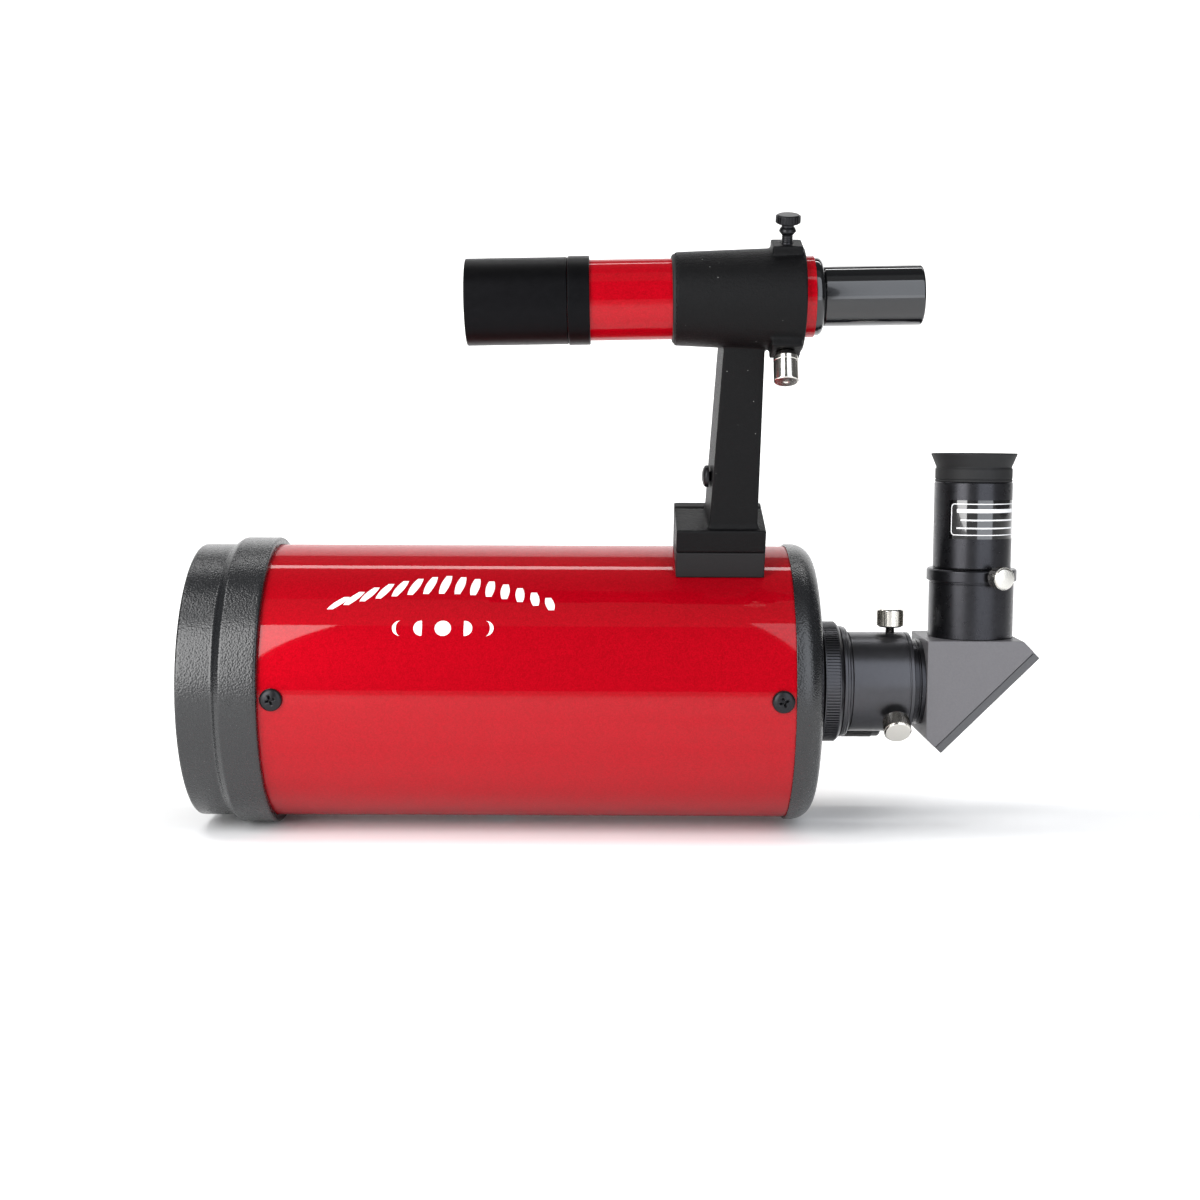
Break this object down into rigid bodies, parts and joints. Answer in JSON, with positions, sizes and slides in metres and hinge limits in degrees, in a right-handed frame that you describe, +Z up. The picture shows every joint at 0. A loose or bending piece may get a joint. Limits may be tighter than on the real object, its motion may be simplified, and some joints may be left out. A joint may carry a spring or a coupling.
{
  "type": "maksutov telescope",
  "caption": "Short closed-tube Maksutov telescope with moving-mirror focuser, star diagonal, eyepiece and a leaning finder on a tall bracket.",
  "frame": {"origin": "mouth of the tripod thread in the middle of the tube's belly", "axes": "+X along the optical axis towards the eye end, +Z up out of the tripod thread, -Y the near side that the finder leans towards"},
  "size_m": [0.357, 0.1398, 0.2538],
  "materials": {
    "candy_red_paint": "metallic clear coat",
    "leather_grain_abs": "leather grain",
    "cork_gasket": "matte",
    "coated_glass": "coated",
    "aluminised_glass": "polished",
    "flat_black_baffle": "matte",
    "black_screw_steel": "black oxide",
    "bare_steel": "satin",
    "turned_brass": "satin",
    "machined_aluminium": "satin",
    "black_anodised": "satin",
    "black_knob_plastic": "moulded",
    "nickel_plated": "knurled",
    "black_housing_plastic": "fine texture",
    "crinkle_cast_paint": "cast texture",
    "black_rubber": "matte",
    "gloss_black_plastic": "gloss"
  },
  "bodies": {
    "optical_tube": {"main_tube": "candy_red_paint", "front_cell": "leather_grain_abs", "corrector_gasket": "cork_gasket", "corrector_lens": "coated_glass", "corrector_retainer": "flat_black_baffle", "secondary_spot": "aluminised_glass", "secondary_baffle": "flat_black_baffle", "front_cell_screws": "black_screw_steel", "rear_cell": "leather_grain_abs", "rear_cell_screws": "black_screw_steel", "baffle_tube": "flat_black_baffle", "baffle_screws": "bare_steel", "focus_bush": "turned_brass", "mount_block": "machined_aluminium", "mount_block_screws": "black_screw_steel", "visual_back": "black_anodised", "finder_shoe": "crinkle_cast_paint", "finder_shoe_screws": "bare_steel"},
    "mirror_carriage": {"mirror_carriage": "machined_aluminium", "primary_mirror": "aluminised_glass", "mirror_retainer": "flat_black_baffle", "focus_bolt": "bare_steel"},
    "focus_knob": {"focus_knob": "black_knob_plastic", "focus_sleeve": "bare_steel"},
    "lock_ring": {"lock_ring": "black_anodised"},
    "back_screw_top": {"back_screw_top": "nickel_plated"},
    "back_screw_side": {"back_screw_side": "nickel_plated"},
    "diagonal": {"diagonal_nosepiece": "black_anodised", "diagonal_body": "black_housing_plastic", "diagonal_mirror": "aluminised_glass", "diagonal_cover": "black_housing_plastic", "diagonal_cover_screws": "black_screw_steel", "eyepiece_holder": "black_anodised"},
    "holder_screw": {"holder_screw": "nickel_plated"},
    "eyepiece": {"eyepiece_barrel": "black_anodised", "eyepiece_sleeve": "nickel_plated", "eye_lens": "coated_glass", "field_lens": "coated_glass", "field_stop": "flat_black_baffle", "eyecup": "black_rubber"},
    "finder_bracket": {"finder_bracket": "crinkle_cast_paint", "stem_screw": "black_screw_steel", "plunger_housing": "nickel_plated", "plunger_spring": "bare_steel"},
    "shoe_clamp_screw": {"shoe_clamp_screw": "black_screw_steel"},
    "finder_o_ring": {"finder_o_ring": "black_rubber"},
    "finder": {"finder_tube": "candy_red_paint", "finder_end_ring": "gloss_black_plastic", "finder_eyepiece": "gloss_black_plastic", "finder_eye_lens": "coated_glass", "crosshair_ring": "flat_black_baffle"},
    "finder_hood": {"finder_hood": "black_anodised", "finder_objective": "coated_glass", "finder_objective_retainer": "flat_black_baffle"},
    "finder_lock_ring": {"finder_lock_ring": "black_anodised"},
    "align_screw_top": {"align_screw_top": "black_screw_steel"},
    "align_screw_side": {"align_screw_side": "black_screw_steel"},
    "plunger_pin": {"plunger_pin": "bare_steel"}
  },
  "joints": [
    {"name": "focus_knob_turn", "type": "hinge", "parent": "optical_tube", "child": "focus_knob", "pos_m": [0.15, 0.035, 0.039], "axis": [1, 0, 0], "range_deg": [-2200, 3640]},
    {"name": "mirror_slide", "type": "slide", "parent": "optical_tube", "child": "mirror_carriage", "axis": [-1, 0, 0], "range_m": [-0.006, 0.01]},
    {"name": "lock_ring_turn", "type": "hinge", "parent": "optical_tube", "child": "lock_ring", "pos_m": [0.1422, 0, 0.0585], "axis": [1, 0, 0], "range_deg": [-180, 180]},
    {"name": "back_screw_top_turn", "type": "hinge", "parent": "optical_tube", "child": "back_screw_top", "pos_m": [0.169, 0, 0.0835], "axis": [0, 0, 1], "range_deg": [-360, 360]},
    {"name": "back_screw_side_turn", "type": "hinge", "parent": "optical_tube", "child": "back_screw_side", "pos_m": [0.169, -0.02048, 0.04416], "axis": [0, -0.8192, -0.5736], "range_deg": [-360, 360]},
    {"name": "diagonal_turn", "type": "hinge", "parent": "optical_tube", "child": "diagonal", "pos_m": [0.1655, 0, 0.0585], "axis": [1, 0, 0], "continuous": true},
    {"name": "holder_screw_turn", "type": "hinge", "parent": "diagonal", "child": "holder_screw", "pos_m": [0.2037, 0, 0.1055], "axis": [0.309, -0.9511, 0], "range_deg": [-360, 360]},
    {"name": "eyepiece_slide", "type": "slide", "parent": "diagonal", "child": "eyepiece", "axis": [0, 0, 1], "range_m": [0, 0.027]},
    {"name": "finder_bracket_slide", "type": "slide", "parent": "optical_tube", "child": "finder_bracket", "axis": [1, 0, 0], "range_m": [0, 0.04]},
    {"name": "shoe_clamp_screw_turn", "type": "hinge", "parent": "optical_tube", "child": "shoe_clamp_screw", "pos_m": [0.0928, -0.01167, 0.13151], "axis": [0, 0.9397, 0.342], "range_deg": [-360, 360]},
    {"name": "finder_tilt", "type": "hinge", "parent": "finder_bracket", "child": "finder_o_ring", "pos_m": [0.0722, -0.05801, 0.21787], "axis": [0, 0.9397, 0.342], "range_deg": [-1, 1]},
    {"name": "finder_pan", "type": "hinge", "parent": "finder_o_ring", "child": "finder", "pos_m": [0.0722, -0.05801, 0.21787], "axis": [0, -0.342, 0.9397], "range_deg": [-1, 1]},
    {"name": "align_screw_top_slide", "type": "slide", "parent": "finder_bracket", "child": "align_screw_top", "axis": [0, -0.342, 0.9397], "range_m": [-0.0008, 0.0008]},
    {"name": "align_screw_side_slide", "type": "slide", "parent": "finder_bracket", "child": "align_screw_side", "axis": [0, 0.9397, 0.342], "range_m": [-0.0008, 0.0008]},
    {"name": "plunger_slide", "type": "slide", "parent": "finder_bracket", "child": "plunger_pin", "axis": [0, -0.3681, -0.9298], "range_m": [0, 0.0014], "stiffness_N_per_m": 700, "springref_m": -0.003},
    {"name": "finder_focus_slide", "type": "slide", "parent": "finder", "child": "finder_hood", "axis": [-0.9998, 0.0072, -0.0197], "range_m": [0, 0.003]},
    {"name": "finder_lock_ring_turn", "type": "hinge", "parent": "finder", "child": "finder_lock_ring", "pos_m": [0.0722, -0.05801, 0.21787], "axis": [0.9998, -0.0072, 0.0197], "range_deg": [-180, 180]}
  ],
  "couplings": [
    {"joint": "focus_knob_turn", "follows": "mirror_slide", "rad_per_m": 6283.2},
    {"joint": "align_screw_top_slide", "follows": "finder_tilt", "m_per_rad": -0.0429},
    {"joint": "align_screw_side_slide", "follows": "finder_pan", "m_per_rad": 0.0429}
  ]
}
